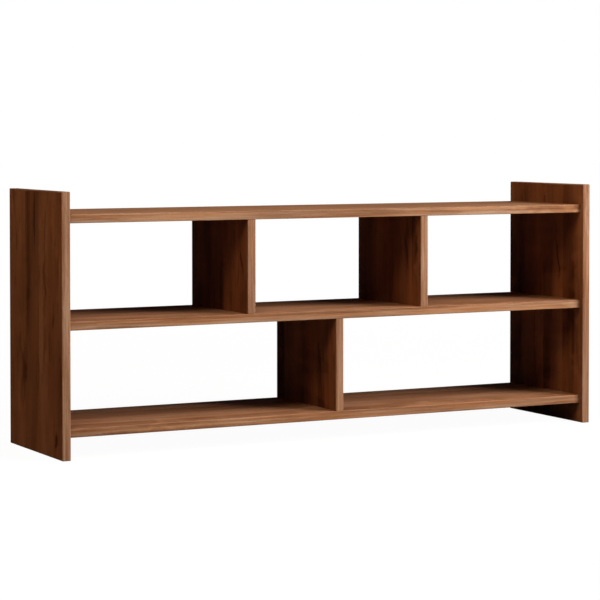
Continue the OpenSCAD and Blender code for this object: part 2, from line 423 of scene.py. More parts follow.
class Handling(EffectGroup):
    """Faint marks of use that change the gloss: rubbed patches, and dust specks on top of them."""

    name = "handling_marks"
    inputs = (("Point", "NodeSocketVector", None), ("Base", "NodeSocketFloat", 0.45),
              ("Amount", "NodeSocketFloat", 0.08))
    outputs = (("Roughness", "NodeSocketFloat"), ("Dust", "NodeSocketFloat"))

    def build(self, graph: Graph, given: dict[str, Socket]) -> dict[str, Socket]:
        """Roughness is the base plus amount times slow noise. Dust is fine noise over a threshold."""
        patches = graph.noise(given["Point"], (14.0, 14.0, 14.0), 3.0, 0.6)
        swing = graph.math("MULTIPLY", graph.math("SUBTRACT", patches, 0.5), given["Amount"])
        specks = graph.noise(given["Point"], (420.0, 420.0, 420.0), 1.0)
        dust = graph.remap(specks, 0.66, 0.74, smooth=True)
        rough = graph.math("MULTIPLY_ADD", dust, 0.06,
                           graph.math("MULTIPLY_ADD", swing, 2.0, given["Base"]))
        return {"Roughness": rough, "Dust": dust}


class Chipboard(EffectGroup):
    """The pressed wood flakes of a board's core: tan cells of random tone with dark seams."""

    name = "chipboard_core"
    inputs = (("Point", "NodeSocketVector", None),)
    outputs = (("Color", "NodeSocketColor"), ("Height", "NodeSocketFloat"))

    def build(self, graph: Graph, given: dict[str, Socket]) -> dict[str, Socket]:
        """Each flake is a Voronoi cell 2 to 4 mm long, coloured by its own random number."""
        cells = graph.node("TexVoronoi", feature="F1")
        graph.feed(cells.inputs["Vector"], given["Point"])
        cells.inputs["Scale"].default_value = 420.0
        pick, _, _ = graph.split(cells.outputs["Color"])
        colour = graph.ramp(pick, ((0.0, (0.20, 0.12, 0.06)), (0.5, (0.42, 0.28, 0.15)),
                                   (1.0, (0.62, 0.46, 0.28))))
        return {"Color": colour, "Height": cells.outputs["Distance"]}


# ---------------------------------------------------------------------------------------------
# Finishes
# ---------------------------------------------------------------------------------------------


@dataclass(frozen=True)
class Effects:
    """The shared shader effects."""

    figure: WalnutFigure
    mark: GrainMark
    handling: Handling
    core: Chipboard


def new_material(name: str) -> tuple[bpy.types.Material, Graph, bpy.types.Node]:
    """Starts a material with a Principled BSDF.

    Args:
        name: the material's name.

    Returns:
        The material, its graph and its Principled BSDF.
    """
    material = bpy.data.materials.new(name)
    material.use_nodes = True
    graph = Graph(material.node_tree)
    shader = graph.node("BsdfPrincipled")
    output = graph.node("OutputMaterial")
    material.node_tree.links.new(shader.outputs[0], output.inputs["Surface"])
    return material, graph, shader


def own_point(graph: Graph) -> Socket:
    """Returns the piece's own coordinates, in metres."""
    return graph.node("TexCoord").outputs["Object"]


def along_grain(graph: Graph, point: Socket, grain: Axis, face: Axis) -> Socket:
    """Turns a point so that its grain runs along the first coordinate.

    Args:
        graph: the material's graph.
        point: the point in the row frame.
        grain: the axis that the grain follows.
        face: the axis that the board's face looks along.

    Returns:
        The point as (along the grain, across the face, through the thickness).
    """
    parts = graph.split(point)
    across = ({0, 1, 2} - {grain.value, face.value}).pop()
    return graph.vector(parts[grain.value], parts[across], parts[face.value])


@dataclass(frozen=True)
class Look:
    """How a surface looks at a point: colour, roughness, and a height with its depth in metres."""

    colour: Socket
    roughness: Socket
    height: Socket
    depth: float


class Finish:
    """The surface of one kind of piece."""

    fixed: ClassVar[dict[str, float]] = {}

    def look(self, g: Graph, effects: Effects, point: Socket) -> Look:
        """Makes the nodes that say how the surface looks.

        Args:
            g: the material's graph.
            effects: the shared shader effects.
            point: the piece's own coordinates, in metres.

        Returns:
            The look at that point.
        """
        raise NotImplementedError

    def material(self, name: str, effects: Effects) -> bpy.types.Material:
        """Builds the finish as a material.

        Args:
            name: the material's name.
            effects: the shared shader effects.

        Returns:
            The material.
        """
        made, g, shader = new_material(name)
        look = self.look(g, effects, own_point(g))
        g.feed(shader.inputs["Base Color"], look.colour)
        g.feed(shader.inputs["Roughness"], look.roughness)
        g.feed(shader.inputs["Normal"], g.bump(look.height, look.depth))
        for socket, value in self.fixed.items():
            shader.inputs[socket].default_value = value
        return made


SATIN_LACQUER = {"IOR": 1.45, "Specular IOR Level": 0.30}
LACQUERED_RELIEF = 0.06 * MM


def arris_value(g: Graph) -> Socket:
    """Returns the mesh's arris attribute, which is 1 on an eased edge and 0 on a flat face."""
    return g.node("Attribute", attribute_name="arris").outputs["Fac"]


@dataclass(frozen=True)
class Walnut:
    """A kind of walnut: its colours from the darkest to the palest, its line and pore colours, and
    how its figure is drawn, with widths in millimetres."""

    dark: Colour
    middle: Colour
    pale: Colour
    line: Colour
    pore: Colour
    line_strength: float
    stain_strength: float
    leaf_width: float = 74.0
    ring_gap: float = 7.0
    wander: float = 18.0
    clouds: float = 1.0
    streaks: float = 1.35
    fibres: float = 0.4

    def figure(self, g: Graph, effects: Effects, point: Socket, seed: float) -> bpy.types.Node:
        """Places the walnut figure at a point that has its grain along the first coordinate."""
        return g.group(effects.figure.tree, Point=point, Seed=seed, Leaf_Width=self.leaf_width,
                       Ring_Gap=self.ring_gap, Wander=self.wander, Clouds=self.clouds,
                       Streaks=self.streaks, Fibres=self.fibres)


# The side faces' walnut is the shelves' veneer made darker and redder: painted shade for faces turned
# away from the key light.
SIDE_WALNUT_PAINTED_SHADE = Walnut(
    dark=(0.178, 0.055, 0.017), middle=(0.266, 0.088, 0.029), pale=(0.378, 0.142, 0.053),
    line=(0.068, 0.018, 0.005), pore=(0.060, 0.017, 0.006), line_strength=0.13, stain_strength=0.50,
    ring_gap=18.0, wander=46.0, clouds=1.25, streaks=0.35, fibres=0.10)
SHELF_WALNUT = Walnut(
    dark=(0.222, 0.088, 0.040), middle=(0.328, 0.146, 0.071), pale=(0.455, 0.226, 0.121),
    line=(0.120, 0.040, 0.017), pore=(0.075, 0.028, 0.013), line_strength=0.40, stain_strength=0.40)
FRONT_WALNUT = Walnut(
    dark=(0.212, 0.090, 0.041), middle=(0.308, 0.145, 0.071), pale=(0.430, 0.238, 0.134),
    line=(0.136, 0.052, 0.023), pore=(0.080, 0.034, 0.017), line_strength=0.32, stain_strength=0.30,
    leaf_width=900.0, ring_gap=5.0, wander=26.0)
UPRIGHT_WALNUT = Walnut(
    dark=(0.218, 0.094, 0.044), middle=(0.315, 0.154, 0.082), pale=(0.435, 0.262, 0.162),
    line=(0.140, 0.055, 0.026), pore=(0.080, 0.034, 0.018), line_strength=0.32, stain_strength=0.30,
    leaf_width=900.0, ring_gap=5.0, wander=26.0)


@dataclass(frozen=True)
class Mark:
    """A streak in a face or a front edge: a pin knot or dark patch where shift is below 0, or a
    pale patch where it is above 0. Some marks are painted light and shade rather than wood: pale
    strips where light falls along a face's front, darker backs where shade falls, and a painted
    highlight at a shelf's end.

    Places and sizes are in millimetres in the row frame, along the grain and across it. Lean is the
    step across for each millimetre along.
    """

    along: float
    across: float
    length: float
    width: float
    shift: float = -0.3
    lean: float = 0.0


def with_marks(g: Graph, effects: Effects, point: Socket, tone: Socket, marks: Sequence[Mark],
               share: Value) -> Socket:
    """Shifts a wood's tone where its marks are.

    Args:
        g: the material's graph.
        effects: the shared shader effects.
        point: the point, with the grain along its first coordinate.
        tone: the wood's own tone.
        marks: the marks.
        share: 1 on the face that bears the marks and 0 elsewhere.

    Returns:
        The shifted tone.
    """
    for mark in marks:
        blot = g.group(effects.mark.tree, Point=point, Along=mark.along, Across=mark.across,
                       Length=mark.length, Width=mark.width, Lean=mark.lean)
        shift = g.math("MULTIPLY", share, mark.shift)
        tone = g.math("MULTIPLY_ADD", blot.outputs["Mask"], shift, tone)
    return tone


@dataclass(frozen=True)
class Veneer(Finish):
    """Walnut veneer under satin lacquer, on a chipboard core where bored holes cut through it.

    The marks are in the veneer that looks up or to the left, and the other side's has none.
    """

    grain: Axis
    face: Axis
    middle: float
    thickness: float
    seed: float
    wood: Walnut
    marks: Sequence[Mark] = ()
    tone: float = 0.0
    roughness: float = 0.46
    sheet: float = 0.55 * MM
    fixed = SATIN_LACQUER

    def look(self, g: Graph, effects: Effects, point: Socket) -> Look:
        """The veneer within a sheet's thickness of either face, and the core between them."""
        grained = along_grain(g, point, self.grain, self.face)
        figure = self.wood.figure(g, effects, grained, self.seed)
        tone = g.math("ADD", figure.outputs["Tone"], self.tone)
        centred = g.math("SUBTRACT", g.split(point)[self.face.value], self.middle)
        marked = g.math("GREATER_THAN" if self.face is Axis.Z else "LESS_THAN", centred, 0.0)
        tone = with_marks(g, effects, grained, tone, self.marks, marked)
        colour = walnut_colour(g, figure, tone, self.wood)
        core = g.group(effects.core.tree, Point=point)
        inner = self.thickness / 2 - self.sheet
        inside = g.math("LESS_THAN", g.math("ABSOLUTE", centred), inner)
        marks = g.group(effects.handling.tree, Point=point, Base=self.roughness, Amount=0.10)
        rough = g.math("MULTIPLY_ADD", figure.outputs["Pores"], 0.12, marks.outputs["Roughness"])
        return Look(g.mix(inside, colour, core.outputs["Color"]),
                    g.math("MULTIPLY_ADD", inside, 0.4, rough),
                    figure.outputs["Height"], LACQUERED_RELIEF)


def walnut_colour(g: Graph, figure: bpy.types.Node, tone: Socket, wood: Walnut) -> Socket:
    """Colours a walnut figure: the wood's colour for the tone under a warm or cool cast, then the
    ring lines, stains and pores.

    Args:
        g: the material's graph.
        figure: the placed walnut figure group.
        tone: how pale the wood is, from 0 to 1.
        wood: the kind of walnut.

    Returns:
        The wood's colour.
    """
    colour = g.ramp(tone, ((0.0, wood.line), (0.2, wood.dark), (0.5, wood.middle),
                           (0.84, wood.pale)))
    cast = g.ramp(figure.outputs["Warmth"], ((0.34, (0.95, 1.04, 1.16)), (0.66, (1.06, 0.94, 0.80))))
    colour = g.mix(1.0, colour, cast, blend="MULTIPLY")
    lines = g.math("MULTIPLY", figure.outputs["Rings"], wood.line_strength)
    colour = g.mix(lines, colour, wood.line)
    stains = g.math("MULTIPLY", figure.outputs["Stain"], wood.stain_strength)
    colour = g.mix(stains, colour, wood.line)
    return g.mix(g.math("MULTIPLY", figure.outputs["Pores"], 0.55), colour, wood.pore)


@dataclass(frozen=True)
class EdgeVeneer(Finish):
    """Long-grain walnut edge band under satin lacquer, pale and rosy where its arrises are rubbed."""

    grain: Axis
    outward: Axis
    seed: float
    wood: Walnut
    tone: float = 0.0
    marks: Sequence[Mark] = ()
    worn: Colour = (0.480, 0.215, 0.135)
    roughness: float = 0.44
    fixed = SATIN_LACQUER

    def look(self, g: Graph, effects: Effects, point: Socket) -> Look:
        """The band's own wood, and the worn colour where noise is high on its arrises."""
        grained = along_grain(g, point, self.grain, self.outward)
        figure = self.wood.figure(g, effects, grained, self.seed)
        tone = g.math("ADD", figure.outputs["Tone"], self.tone)
        tone = with_marks(g, effects, grained, tone, self.marks, 1.0)
        colour = walnut_colour(g, figure, tone, self.wood)
        wear = g.remap(g.noise(point, (30.0,) * 3, 3.0), 0.42, 0.62, 0.08, 0.40)
        rubbed = g.math("MULTIPLY", arris_value(g), wear)
        marks = g.group(effects.handling.tree, Point=point, Base=self.roughness, Amount=0.10)
        return Look(g.mix(rubbed, colour, self.worn),
                    g.math("MULTIPLY_ADD", rubbed, -0.12, marks.outputs["Roughness"]),
                    figure.outputs["Height"], LACQUERED_RELIEF)


@dataclass(frozen=True)
class Beech(Finish):
    """Raw beech of the dowels: pale pinkish wood with short dark flecks along the grain."""

    grain: Axis
    dark: Colour = (0.50, 0.33, 0.19)
    pale: Colour = (0.68, 0.50, 0.32)
    fleck: Colour = (0.30, 0.16, 0.08)
    fixed = {"Specular IOR Level": 0.30}

    def fibres(self, across: float, along: float) -> list[float]:
        """Returns noise stretches for features drawn out along the grain."""
        return [along if axis is self.grain else across for axis in Axis]

    def look(self, g: Graph, effects: Effects, point: Socket) -> Look:
        """Fibres ten to twenty times longer than wide, and finer flecks over them."""
        flecks = g.remap(g.noise(point, self.fibres(2600.0, 260.0), 1.0), 0.56, 0.66, smooth=True)
        colour = g.ramp(g.noise(point, self.fibres(700.0, 40.0), 2.0),
                        ((0.3, self.dark), (0.7, self.pale)))
        marks = g.group(effects.handling.tree, Point=point, Base=0.62, Amount=0.10)
        return Look(g.mix(g.math("MULTIPLY", flecks, 0.5), colour, self.fleck),
                    marks.outputs["Roughness"], flecks, 0.03 * MM)


@dataclass(frozen=True)
class Metal(Finish):
    """A small fitting's metal: its tone varies from patch to patch over a fine cast or turned grain."""

    dark: Colour
    pale: Colour
    roughness: float
    grain: float
    relief: float
    fixed = {"Metallic": 1.0}

    def look(self, g: Graph, effects: Effects, point: Socket) -> Look:
        """The dark colour lies in patches and under the dust, and the grain gives the relief."""
        marks = g.group(effects.handling.tree, Point=point, Base=self.roughness, Amount=0.16)
        cloud = g.noise(point, (300.0,) * 3, 3.0)
        skin = g.noise(point, (self.grain,) * 3, 2.0)
        colour = g.ramp(cloud, ((0.35, self.dark), (0.65, self.pale)))
        return Look(g.mix(marks.outputs["Dust"], colour, self.dark), marks.outputs["Roughness"],
                    skin, self.relief)


@dataclass(frozen=True)
class MouldedPlastic(Finish):
    """Walnut-brown plastic with a spark-eroded grain, for the cover caps."""

    colour: Colour
    worn: Colour

    def look(self, g: Graph, effects: Effects, point: Socket) -> Look:
        """The worn colour comes through in patches and on the rim."""
        marks = g.group(effects.handling.tree, Point=point, Base=0.5, Amount=0.12)
        grain = g.noise(point, (2300.0,) * 3, 2.0)
        cloud = g.remap(g.noise(point, (160.0,) * 3, 3.0), 0.4, 0.7)
        wear = g.math("MULTIPLY_ADD", cloud, 0.25, g.math("MULTIPLY", arris_value(g), 0.35))
        return Look(g.mix(wear, self.colour, self.worn), marks.outputs["Roughness"], grain,
                    0.02 * MM)


# ---------------------------------------------------------------------------------------------
# Surfaces
# ---------------------------------------------------------------------------------------------


@dataclass
class Surface:
    """A closed skin: points, quads as rows of four indices, an arris value for each point, and the
    faces that cap its ends."""

    points: np.ndarray
    quads: np.ndarray
    arris: np.ndarray
    caps: list[np.ndarray]

    def moved(self, turn: np.ndarray, origin: np.ndarray) -> "Surface":
        """Turns and moves the skin, and keeps its faces outward where the turn mirrors it.

        Args:
            turn: a 3 by 3 matrix whose columns are the new directions of the old axes.
            origin: where the old origin goes.

        Returns:
            The new skin.
        """
        mirrored = np.linalg.det(turn) < 0
        quads = self.quads[:, ::-1] if mirrored else self.quads
        caps = [cap[::-1] if mirrored else cap for cap in self.caps]
        return Surface(self.points @ turn.T + origin, quads, self.arris, caps)


def lofted(rings: np.ndarray, arris: np.ndarray) -> Surface:
    """Joins closed rings into a skin with flat ends.

    Point (i, j) is place j on ring i. Each quad joins places j and j + 1 of rings i and i + 1, and the
    first and last rings are closed by one face each.

    Args:
        rings: an array of rings by places by 3, each ring counter-clockwise seen from the last one.
        arris: the arris value of each point, rings by places.

    Returns:
        The skin.
    """
    count, places = rings.shape[:2]
    index = np.arange(count * places).reshape(count, places)
    after = np.roll(index, -1, axis=1)
    quads = np.stack([index[:-1], after[:-1], after[1:], index[1:]], axis=-1).reshape(-1, 4)
    return Surface(rings.reshape(-1, 3), quads, arris.reshape(-1), [index[0][::-1], index[-1]])


def revolved(radius: np.ndarray, height: np.ndarray, arris: np.ndarray) -> Surface:
    """Turns a profile about Z: point (i, j) is (r cos a, r sin a, h), with a in even steps of j.

    Args:
        radius: the radius of each point, rings by steps.
        height: the height of each point, rings by steps.
        arris: the arris value of each ring.

    Returns:
        The skin.
    """
    angle = np.linspace(0.0, 2 * np.pi, radius.shape[1], endpoint=False)[None, :]
    rings = np.stack([radius * np.cos(angle), radius * np.sin(angle), height], axis=-1)
    return lofted(rings, np.broadcast_to(arris[:, None], radius.shape))


def make_piece(name: str, skins: Sequence[Surface], material: bpy.types.Material,
               sharp_angle: float = 35.0) -> bpy.types.Object:
    """Puts skins into one object at the origin.

    Args:
        name: the piece's name.
        skins: its closed skins.
        material: its finish.
        sharp_angle: the angle, in degrees, above which an edge shades sharp.

    Returns:
        The object.
    """
    offsets = np.cumsum([0] + [len(skin.points) for skin in skins])
    points = np.concatenate([skin.points for skin in skins])
    faces = [face for skin, start in zip(skins, offsets) for face in (skin.quads + start).tolist()]
    faces += [(cap + start).tolist() for skin, start in zip(skins, offsets) for cap in skin.caps]
    mesh = bpy.data.meshes.new(name)
    mesh.from_pydata(points.tolist(), [], faces)
    mesh.validate()
    mesh.polygons.foreach_set("use_smooth", np.ones(len(mesh.polygons), bool))
    mesh.set_sharp_from_angle(angle=math.radians(sharp_angle))
    layer = mesh.attributes.new("arris", "FLOAT", "POINT")
    layer.data.foreach_set("value", np.concatenate([s.arris for s in skins]).astype(np.float32))
    mesh.materials.append(material)
    piece = bpy.data.objects.new(name, mesh)
    bpy.context.scene.collection.objects.link(piece)
    return piece


def stand_for(piece: bpy.types.Object, node: str) -> None:
    """Lets a piece ride on the hutch in place of a CAD node.

    Args:
        piece: the piece.
        node: the CAD node that it replaces.
    """
    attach(piece, BODY)
    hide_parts(node)
    LOG.info("%s: %d faces for %s", piece.name, len(piece.data.polygons), node)


# ---------------------------------------------------------------------------------------------
# Boards and their edge bands
# ---------------------------------------------------------------------------------------------


@dataclass
class EdgeBand:
    """A band 2 mm thick with eased arrises, glued along one edge of a board.

    The band's node gives its box. It runs along grain, and its outer face looks along outward, on
    the low or the high side.
    """

    node: str
    grain: Axis
    outward: Axis
    high_side: bool
    free_ends: bool
    seed: float
    tone: float = 0.0
    marks: Sequence[Mark] = ()
    easing: float = 1.5 * MM
    seam: float = 0.12 * MM
    steps: int = 6
    first_turn: float = 12.0
    ring_gap: float = 60 * MM

    def section(self, half: float, thick: float, inset: float) -> tuple[np.ndarray, np.ndarray]:
        """The band's section, as closed points of (across, depth below the outer face).

        Two quarter circles of radius easing minus inset round the outer corners, and the glued
        corners have a hairline chamfer, which draws the seam with the board's face.

        Args:
            half: half of the board's thickness.
            thick: the band's thickness.
            inset: how far the outline is drawn in, next to a rounded end.

        Returns:
            The points, and each point's arris value.
        """
        half = half - inset
        radius = self.easing - inset
        turn = np.linspace(0.0, np.pi / 2, self.steps)
        shade = 0.35 + 0.65 * np.sin(2 * turn)
        low = np.stack([-half + radius - radius * np.cos(turn),
                        inset + radius - radius * np.sin(turn)], axis=-1)
        hold = self.easing / 2
        centre = np.array([[-half + radius + hold, inset], [half - radius - hold, inset]])
        high = low[::-1] * (-1, 1)
        left = np.array([[-half + self.seam, thick], [-half, thick - self.seam]])
        right = left[::-1] * (-1, 1)
        points = np.concatenate([left, low, centre, high, right])
        arris = np.concatenate([[0, 0], shade, [0, 0], shade[::-1], [0, 0]])
        return points, arris

    def skin(self) -> Surface:
        """Carries the section along the band. Next to a free end a ring lies easing (1 - cos t) from
        the end and is drawn in by easing (1 - sin t), with t from first_turn degrees to a right
        angle, which rounds the end like the long edges."""
        low, high = (np.array(corner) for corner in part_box(self.node))
        across = ({0, 1, 2} - {self.grain.value, self.outward.value}).pop()
        length = high[self.grain.value] - low[self.grain.value]
        half = (high[across] - low[across]) / 2
        thick = high[self.outward.value] - low[self.outward.value]
        turn = np.linspace(np.radians(self.first_turn), np.pi / 2, self.steps)
        if self.free_ends:
            from_end, inset = self.easing * (1 - np.cos(turn)), self.easing * (1 - np.sin(turn))
        else:
            from_end, inset = np.zeros(1), np.zeros(1)
        reach = from_end[-1]
        inner = np.linspace(reach, length - reach, max(3, round(length / self.ring_gap)))[1:-1]
        places = np.concatenate([from_end, inner, (length - from_end)[::-1]])
        insets = np.concatenate([inset, np.zeros(len(inner)), inset[::-1]])
        drawn = [self.section(half, thick, value) for value in insets]
        flat = np.stack([points for points, _ in drawn])
        rings = np.concatenate([flat, np.broadcast_to(places[:, None, None], flat[..., :1].shape)],
                               axis=-1)
        arris = np.stack([values for _, values in drawn])
        turn_to = np.zeros((3, 3))
        turn_to[across, 0] = 1.0
        turn_to[self.outward.value, 1] = -1.0 if self.high_side else 1.0
        turn_to[self.grain.value, 2] = 1.0
        origin = low.copy()
        origin[across] += half
        if self.high_side:
            origin[self.outward.value] = high[self.outward.value]
        # The section runs clockwise, so a mirrored start keeps its faces outward.
        skin = lofted(rings[:, ::-1], arris[:, ::-1])
        return skin.moved(turn_to, origin)

    def build(self, effects: Effects) -> None:
        """Makes the band and dresses it."""
        wood = FRONT_WALNUT if self.grain is Axis.X else UPRIGHT_WALNUT
        finish = EdgeVeneer(self.grain, self.outward, self.seed, wood, self.tone, self.marks)
        piece = make_piece("walnut_" + self.node, [self.skin()],
                           finish.material(self.node + "_veneer", effects))
        stand_for(piece, self.node)


@dataclass
class Board:
    """A veneered board: its CAD node stays, and its edge bands are made again."""

    node: str
    grain: Axis
    face: Axis
    seed: float
    bands: Sequence[EdgeBand]
    tone: float = 0.0
    marks: Sequence[Mark] = ()

    def build(self, effects: Effects) -> None:
        """Dresses the board and builds its bands."""
        low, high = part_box(self.node)
        side = self.face.value
        # Faces that look along X take the walnut darkened with painted shade.
        wood = SHELF_WALNUT if self.face is Axis.Z else SIDE_WALNUT_PAINTED_SHADE
        finish = Veneer(self.grain, self.face, (low[side] + high[side]) / 2,
                        high[side] - low[side], self.seed, wood, self.marks, self.tone)
        dress(self.node, finish.material(self.node + "_veneer", effects))
        for band in self.bands:
            band.build(effects)


def dress(node: str, material: bpy.types.Material) -> None:
    """Gives a CAD node its finish.

    Args:
        node: the CAD node.
        material: its finish.
    """
    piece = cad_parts[node]
    if not piece.material_slots:
        piece.data.materials.append(material)
    for holder in piece.material_slots:
        holder.material = material
    LOG.info("%s: CAD node with finish %s", node, material.name)


@dataclass(frozen=True)
class Wood:
    """How one board's wood differs: its seed, the tones of its faces and of its edges, the marks in
    its face and those in its front edge."""

    seed: float
    tone: float = 0.0
    edge_tone: float = 0.0
    marks: Sequence[Mark] = ()
    edge_marks: Sequence[Mark] = ()


def long_bands(name: str, grain: Axis, free_ends: bool, wood: Wood) -> list[EdgeBand]:
    """Returns a board's front and back bands.

    Args:
        name: the start of the bands' node names.
        grain: the axis that the bands run along.
        free_ends: whether their ends show and are rounded.
        wood: the board's wood. The front band bears its edge marks.

    Returns:
        The two bands.
    """
    return [EdgeBand(f"{name}_front_band", grain, Axis.Y, False, free_ends, wood.seed,
                     wood.edge_tone, wood.edge_marks),
            EdgeBand(f"{name}_back_band", grain, Axis.Y, True, free_ends, wood.seed + 1,
                     wood.edge_tone)]


def side_panel(side: str, wood: Wood) -> Board:
    """A side panel, banded all round: front and back bands cover the ends of the other two."""
    name = side + "_side"
    bands = long_bands(name, Axis.Z, True, wood)
    for edge, seed in (("top", wood.seed + 2), ("bottom", wood.seed + 3)):
        bands.append(EdgeBand(f"{name}_{edge}_band", Axis.Y, Axis.Z, edge == "top", False, seed,
                              wood.edge_tone))
    return Board(name + "_panel", Axis.Z, Axis.X, wood.seed, bands, wood.tone, wood.marks)


def shelf(level: str, wood: Wood) -> Board:
    """A shelf, banded at front and back, with its grain along the hutch."""
    name = level + "_shelf"
    bands = long_bands(name, Axis.X, False, wood)
    return Board(name, Axis.X, Axis.Z, wood.seed, bands, wood.tone, wood.marks)


def divider(place: str, wood: Wood) -> Board:
    """A divider, banded at front and back, with its grain upright."""
    name = place + "_divider"
    bands = long_bands(name, Axis.Z, False, wood)
    return Board(name, Axis.Z, Axis.X, wood.seed, bands, wood.tone, wood.marks)


# ---------------------------------------------------------------------------------------------
# Fittings
# ---------------------------------------------------------------------------------------------


@dataclass(frozen=True)
class Dowel:
    """A fluted beech dowel. Its radius is the full one less the flutes' cosine, eased at both ends."""

    radius: float = 3.95 * MM
    length: float = 30 * MM
    flutes: int = 16
    flute_depth: float = 0.22 * MM
    chamfer: float = 1.0 * MM
    around: int = 96

    def skin(self) -> Surface:
        """The dowel along +Z from its end in the face board, at 0."""
        end = np.array([0, 0.25, 0.6, 1.0, 1.6]) * MM
        height = np.concatenate([end, [self.length / 2], (self.length - end)[::-1]])
        from_end = np.minimum(height, self.length - height)
        ease = np.clip(1 - from_end / self.chamfer, 0, 1)
        body = self.radius - self.chamfer * ease ** 1.5
        angle = np.linspace(0.0, 2 * np.pi, self.around, endpoint=False)
        groove = self.flute_depth * (0.5 - 0.5 * np.cos(self.flutes * angle)) ** 2
        radius = body[:, None] - groove[None, :] * (1 - ease[:, None])
        return revolved(radius, np.broadcast_to(height[:, None], radius.shape), ease)


@dataclass(frozen=True)
class CamBolt:
    """A cam bolt: threaded tip, collar, shank, neck and a head with a crossed drive.

    In the thread the radius is the core plus the crest's height times a triangle wave of (height over
    pitch less angle over a full turn), which winds one helix.
    """

    thread_length: float = 10.5 * MM
    reach: float = 34 * MM
    core: float = 1.95 * MM
    crest: float = 2.45 * MM
    pitch: float = 1.5 * MM
    collar: float = 3.4 * MM
    collar_height: float = 1.2 * MM
    shank: float = 2.6 * MM
    neck: float = 1.6 * MM
    head: float = 3.2 * MM
    head_height: float = 5.0 * MM
    drive_depth: float = 1.4 * MM
    around: int = 48
    rings_per_turn: int = 8

    def skin(self) -> Surface:
        """The bolt along +Z, with its tip at 0 and the face that its collar sits on at thread_length."""
        angle = np.linspace(0.0, 1.0, self.around, endpoint=False)[None, :]
        turns = self.thread_length / self.pitch
        height = np.linspace(0, self.thread_length, round(turns * self.rings_per_turn) + 1)[:, None]
        wave = 1 - np.abs(2 * np.mod(height / self.pitch - angle, 1.0) - 1)
        runout = np.clip(height / self.pitch, 0, 1) * np.clip(
            (self.thread_length - height) / (0.5 * self.pitch), 0, 1)
        thread = self.core * (0.6 + 0.4 * np.clip(height / (1.2 * self.pitch), 0, 1))
        thread = thread + (self.crest - self.core) * wave ** 0.7 * runout
        top = self.thread_length
        neck_end = top + self.reach - self.head_height / 2
        # Each part's profile is in millimetres from its own radius and height.
        parts = (
            (self.collar, top, [[-0.2, 0.0], [0.0, 0.2], [0.0, 1.0], [-0.2, 1.2]]),
            (self.shank, top + self.collar_height, [[0.0, 0.0]]),
            (self.shank, neck_end, [[0.0, -5.5], [-0.15, -5.1]]),
            (self.neck, neck_end, [[0.0, -4.5], [0.0, -0.2], [0.3, 0.0]]),
            (self.head, neck_end, [[-0.4, 0.4], [0.0, 1.2], [0.0, 3.8], [-0.2, 4.5], [-0.6, 4.9],
                                   [-1.0, 5.0]]))
        plain = np.concatenate([np.array(profile) * MM + (wide, level)
                                for wide, level, profile in parts])
        radius = np.concatenate([thread, np.repeat(plain[:, :1], self.around, axis=1)])
        heights = np.concatenate([np.repeat(height, self.around, axis=1),
                                  np.repeat(plain[:, 1:], self.around, axis=1)])
        # The drive: rings run inward over the head's end and sink inside the arms of a cross.
        inward = np.linspace(2.1, 0.15, 9)[:, None] * MM
        arm = np.abs(np.sin(2 * np.pi * angle) * np.cos(2 * np.pi * angle)) * 2 * inward
        sink = self.drive_depth * np.clip(1.6 - arm / (0.45 * MM), 0, 1) * np.clip(
            (1.95 * MM - inward) / (0.3 * MM), 0, 1)
        radius = np.concatenate([radius, np.repeat(inward, self.around, axis=1)])
        heights = np.concatenate([heights, neck_end + self.head_height - sink])
        return revolved(radius, heights, np.zeros(len(radius)))


@dataclass(frozen=True)
class CoverCap:
    """A cover cap: a thin crowned disc with a soft rim and the peg that holds it in the cam."""

    radius: float = 8.5 * MM
    height: float = 1.2 * MM
    crown: float = 0.25 * MM
    rim: float = 0.6 * MM
    peg_radius: float = 1.5 * MM
    peg_length: float = 2.2 * MM
    around: int = 72

    def skin(self) -> Surface:
        """The cap along +Z, out of the board: its peg points to -Z and its rim sits at 0."""
        edge = self.height - self.crown
        turn = np.linspace(0.0, np.pi / 2, 7)
        rim = np.stack([self.radius - self.rim * (1 - np.cos(turn)),
                        edge - self.rim * (1 - np.sin(turn))], axis=-1)
        out = np.linspace(self.radius - 1.0 * MM, 0.3 * MM, 8)
        crown = np.stack([out, edge + self.crown * (1 - (out / self.radius) ** 2)], axis=-1)
        peg = np.array([[self.peg_radius - 0.35 * MM, -self.peg_length],
                        [self.peg_radius, -self.peg_length + 0.5 * MM],
                        [self.peg_radius, -0.1 * MM], [self.peg_radius + 0.2 * MM, 0.0],
                        [self.radius - 0.15 * MM, 0.0], [self.radius, 0.15 * MM]])
        profile = np.concatenate([peg, rim, crown])
        arris = np.concatenate([np.zeros(len(peg)), np.sin(2 * turn), np.zeros(len(crown))])
        grid = np.repeat(profile[:, :, None], self.around, axis=2)
        return revolved(grid[:, 0], grid[:, 1], arris)


